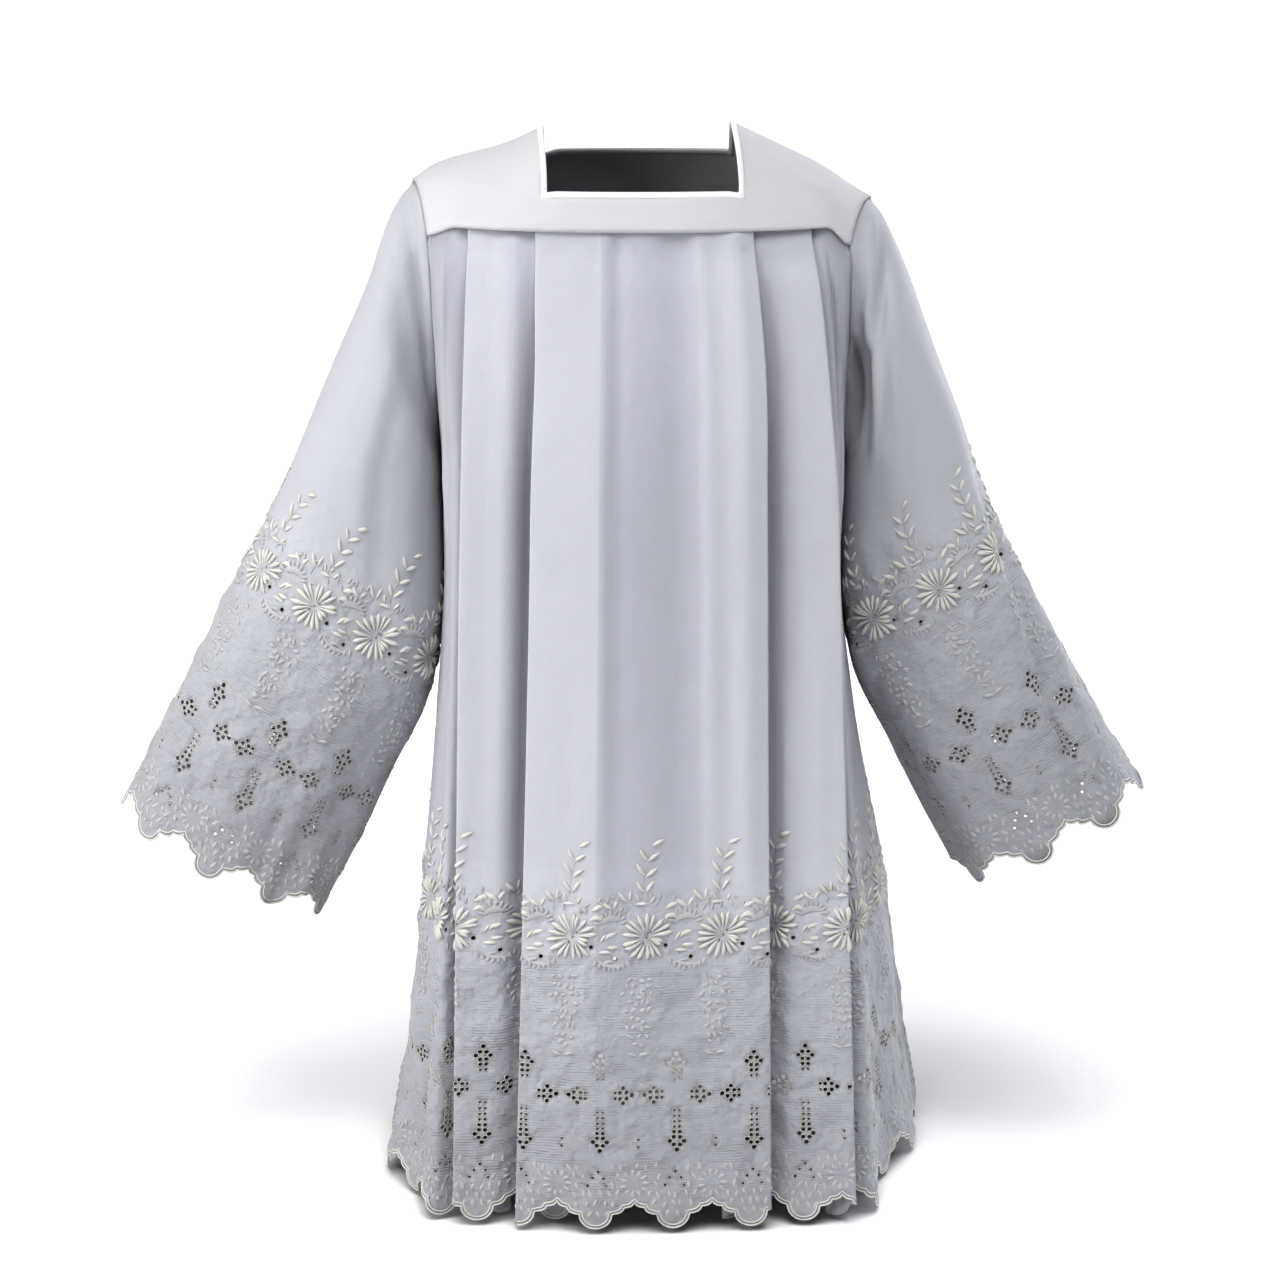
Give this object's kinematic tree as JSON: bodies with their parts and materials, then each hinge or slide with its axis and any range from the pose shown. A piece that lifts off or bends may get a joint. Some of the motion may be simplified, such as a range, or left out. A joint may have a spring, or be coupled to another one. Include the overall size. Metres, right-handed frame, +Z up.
{
  "type": "surplice",
  "caption": "Knee-length white surplice with a square-necked yoke, pleated panels, wide bell sleeves and an eyelet-embroidered scalloped hem, hollow as when worn.",
  "frame": {"origin": "midway between the places beside the neck where the yoke rests on the wearer's shoulders", "axes": "+Z up along the body, -Y is the way the wearer faces, +X towards the wearer's left sleeve"},
  "size_m": [0.9537, 0.3788, 1.0007],
  "materials": {
    "cotton": "matt white woven poly-cotton",
    "binding": "white cotton binding, pressed",
    "embroidery": "ivory satin-stitched rayon thread, soft sheen"
  },
  "bodies": {
    "root": {"yoke": "cotton", "neck_binding": "binding", "front_panel": "cotton", "back_panel": "cotton", "left_sleeve": "cotton", "right_sleeve": "cotton"}
  },
  "joints": []
}
